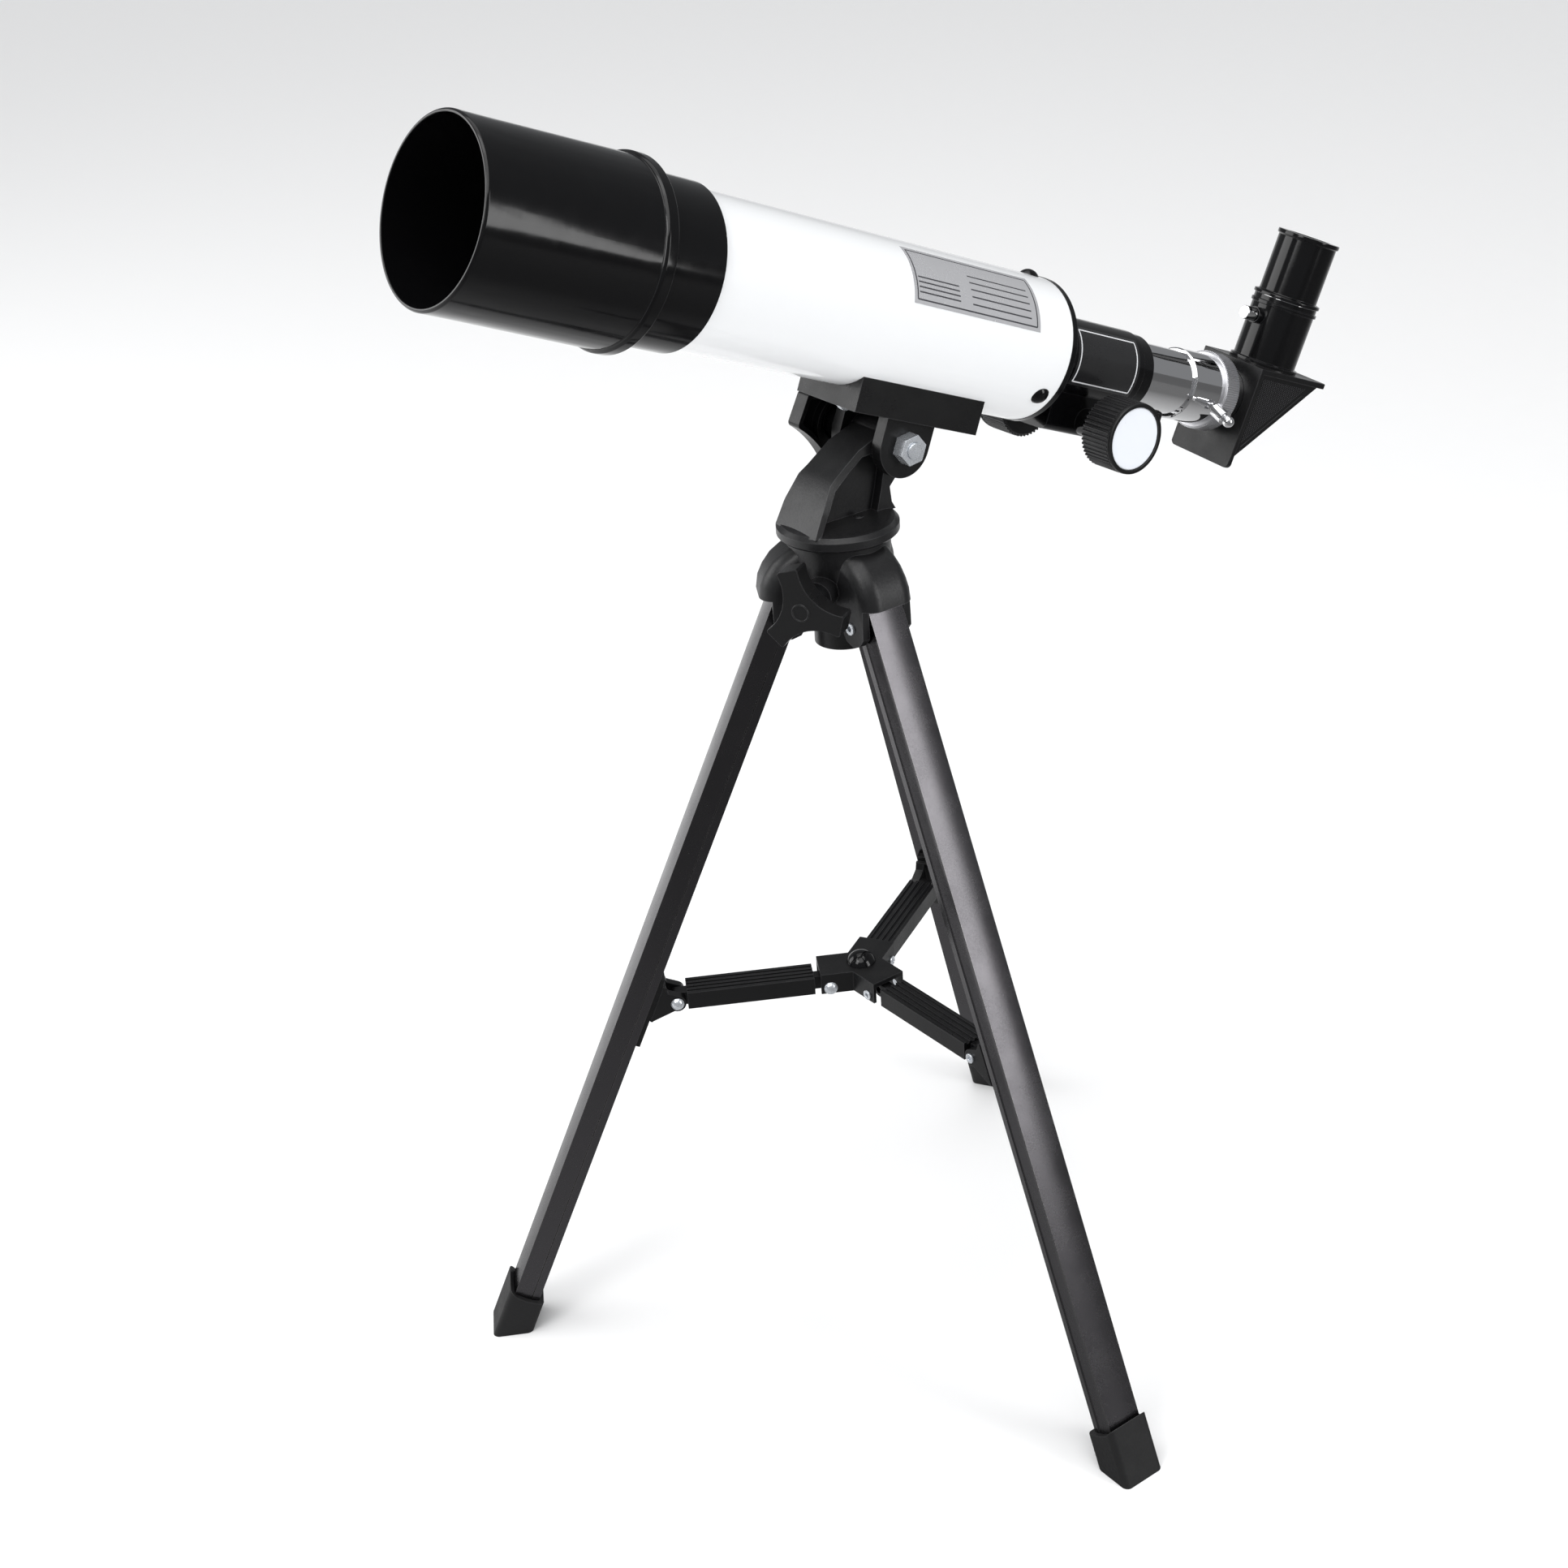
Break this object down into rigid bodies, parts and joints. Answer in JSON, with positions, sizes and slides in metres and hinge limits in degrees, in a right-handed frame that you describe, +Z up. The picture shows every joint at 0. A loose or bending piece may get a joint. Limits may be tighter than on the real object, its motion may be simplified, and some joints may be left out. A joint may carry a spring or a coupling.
{
  "type": "tabletop telescope on folding tripod",
  "caption": "Small refracting telescope with star diagonal and eyepiece on a tilting yoke and a folding tabletop tripod.",
  "frame": {"origin": "on the floor, on the tripod's vertical pan axis", "axes": "+Z up along the pan axis; at rest the tube points towards -X, tilted 22.2 degrees up"},
  "size_m": [0.4152, 0.2597, 0.523],
  "materials": {
    "white_enamel": "gloss white enamel",
    "black_plastic": "satin black moulded plastic",
    "grey_die_cast": "satin dark grey paint on die-cast metal",
    "leg_alloy": "satin black anodised",
    "gloss_black": "gloss black moulded plastic",
    "chrome": "polished chrome plate",
    "zinc_steel": "zinc-plated steel",
    "black_rubber": "matte black rubber",
    "clear_glass": "coated optical glass",
    "mirror_glass": "front-silvered",
    "label_silver": "blank silver foil",
    "disc_white": "gloss white plastic",
    "alloy_grey": "fine matte alloy"
  },
  "bodies": {
    "head": {"tripod_head": "grey_die_cast", "leg_hinge_rivets": "zinc_steel"},
    "yoke": {"yoke": "grey_die_cast", "pan_spindle": "zinc_steel", "pan_screw": "zinc_steel", "yoke_disc_screw": "zinc_steel"},
    "telescope": {"saddle": "black_plastic", "saddle_screws": "zinc_steel", "tilt_nut": "zinc_steel", "main_tube": "white_enamel", "lens_cell": "gloss_black", "objective_crown": "clear_glass", "objective_flint": "clear_glass", "lens_retaining_ring": "black_plastic", "focuser_body": "gloss_black", "rear_screws": "chrome", "focuser_label": "label_silver", "tube_label": "label_silver"},
    "tilt_clamp": {"tilt_clamp_knob": "black_plastic", "tilt_bolt": "zinc_steel"},
    "pan_lock": {"pan_lock_knob": "black_plastic", "pan_lock_screw": "zinc_steel"},
    "dew_shield": {"dew_shield": "gloss_black"},
    "focus": {"focus_pinion_shaft": "zinc_steel", "focus_knob_left": "black_plastic", "focus_knob_right": "black_plastic", "focus_knob_discs": "disc_white"},
    "drawtube": {"drawtube": "chrome", "drawtube_rack": "black_plastic", "drawtube_end": "chrome", "knurled_ring": "alloy_grey"},
    "nose_screw": {"nose_thumbscrew": "chrome"},
    "diagonal": {"diagonal_housing": "black_plastic", "diagonal_nose": "chrome", "diagonal_back_cover": "black_plastic", "diagonal_mirror": "mirror_glass", "eyepiece_holder": "gloss_black"},
    "eyepiece_screw": {"eyepiece_thumbscrew": "black_plastic"},
    "eyepiece": {"eyepiece_barrel": "chrome", "eyepiece_body": "gloss_black", "eyepiece_field_lens": "clear_glass", "eyepiece_eye_lens": "clear_glass"},
    "hub": {"spreader_hub": "black_plastic", "hub_cap_rivet": "chrome", "hub_rivets": "zinc_steel"},
    "leg_1": {"leg_1": "leg_alloy", "rubber_foot_1": "black_rubber", "leg_clip_1": "black_plastic", "clip_rivet_1": "zinc_steel"},
    "arm_1": {"spreader_arm_1": "black_plastic"},
    "leg_2": {"leg_2": "leg_alloy", "rubber_foot_2": "black_rubber", "leg_clip_2": "black_plastic", "clip_rivet_2": "zinc_steel"},
    "arm_2": {"spreader_arm_2": "black_plastic"},
    "leg_3": {"leg_3": "leg_alloy", "rubber_foot_3": "black_rubber", "leg_clip_3": "black_plastic", "clip_rivet_3": "zinc_steel"},
    "arm_3": {"spreader_arm_3": "black_plastic"}
  },
  "joints": [
    {"name": "pan", "type": "hinge", "parent": "head", "child": "yoke", "pos_m": [0, 0, 0.33], "axis": [0, 0, 1], "continuous": true},
    {"name": "tilt", "type": "hinge", "parent": "yoke", "child": "telescope", "pos_m": [0.0215, 0, 0.3785], "axis": [0, 1, 0], "range_deg": [-22, 38]},
    {"name": "tilt_clamp_turn", "type": "hinge", "parent": "telescope", "child": "tilt_clamp", "pos_m": [0.0215, 0, 0.3785], "axis": [0, 1, 0], "range_deg": [0, 180]},
    {"name": "pan_lock_turn", "type": "hinge", "parent": "head", "child": "pan_lock", "pos_m": [-0.02598, -0.015, 0.331], "axis": [-0.866, -0.5, 0], "range_deg": [0, 360]},
    {"name": "dew_shield_slide", "type": "slide", "parent": "telescope", "child": "dew_shield", "axis": [-0.9259, 0, 0.3778], "range_m": [0, 0.006]},
    {"name": "drawtube_slide", "type": "slide", "parent": "telescope", "child": "drawtube", "axis": [0.9259, 0, -0.3778], "range_m": [-0.025, 0.04]},
    {"name": "focus_turn", "type": "hinge", "parent": "telescope", "child": "focus", "pos_m": [0.11417, 0, 0.3641], "axis": [0, 1, 0], "range_deg": [-359, 574]},
    {"name": "diagonal_turn", "type": "hinge", "parent": "drawtube", "child": "diagonal", "pos_m": [0.1898, 0, 0.35624], "axis": [-0.9259, 0, 0.3778], "continuous": true},
    {"name": "nose_screw_turn", "type": "hinge", "parent": "drawtube", "child": "nose_screw", "pos_m": [0.18138, -0.01409, 0.35414], "axis": [-0.1292, -0.9397, -0.3167], "range_deg": [0, 360]},
    {"name": "eyepiece_slide", "type": "slide", "parent": "diagonal", "child": "eyepiece", "axis": [0.3766, -0.0802, 0.9229], "range_m": [0, 0.018]},
    {"name": "eyepiece_screw_turn", "type": "hinge", "parent": "diagonal", "child": "eyepiece_screw", "pos_m": [0.21109, -0.00276, 0.38459], "axis": [-0.9259, 0, 0.3778], "range_deg": [0, 360]},
    {"name": "leg_1_fold", "type": "hinge", "parent": "head", "child": "leg_1", "pos_m": [0.01732, 0.01, 0.3186], "axis": [-0.5, 0.866, 0], "range_deg": [0, 17]},
    {"name": "arm_1_fold", "type": "hinge", "parent": "leg_1", "child": "arm_1", "pos_m": [0.06564, 0.0379, 0.155], "axis": [-0.5, 0.866, 0], "range_deg": [0, 68.1]},
    {"name": "leg_2_fold", "type": "hinge", "parent": "head", "child": "leg_2", "pos_m": [-0.01732, 0.01, 0.3186], "axis": [-0.5, -0.866, 0], "range_deg": [0, 17]},
    {"name": "arm_2_fold", "type": "hinge", "parent": "leg_2", "child": "arm_2", "pos_m": [-0.06564, 0.0379, 0.155], "axis": [-0.5, -0.866, 0], "range_deg": [0, 68.1]},
    {"name": "leg_3_fold", "type": "hinge", "parent": "head", "child": "leg_3", "pos_m": [0, -0.02, 0.3186], "axis": [1, 0, 0], "range_deg": [0, 17]},
    {"name": "arm_3_fold", "type": "hinge", "parent": "leg_3", "child": "arm_3", "pos_m": [0, -0.0758, 0.155], "axis": [1, 0, 0], "range_deg": [0, 68.1]},
    {"name": "hub_rise", "type": "slide", "parent": "head", "child": "hub", "axis": [0, 0, 1], "range_m": [0, 0.076]}
  ],
  "couplings": [
    {"joint": "focus_turn", "follows": "drawtube_slide", "rad_per_m": 250},
    {"joint": "arm_1_fold", "follows": "leg_1_fold", "ratio": 4},
    {"joint": "leg_2_fold", "follows": "leg_1_fold", "ratio": 1},
    {"joint": "arm_2_fold", "follows": "leg_1_fold", "ratio": 4},
    {"joint": "leg_3_fold", "follows": "leg_1_fold", "ratio": 1},
    {"joint": "arm_3_fold", "follows": "leg_1_fold", "ratio": 4},
    {"joint": "hub_rise", "follows": "leg_1_fold", "m_per_rad": 0.255}
  ]
}
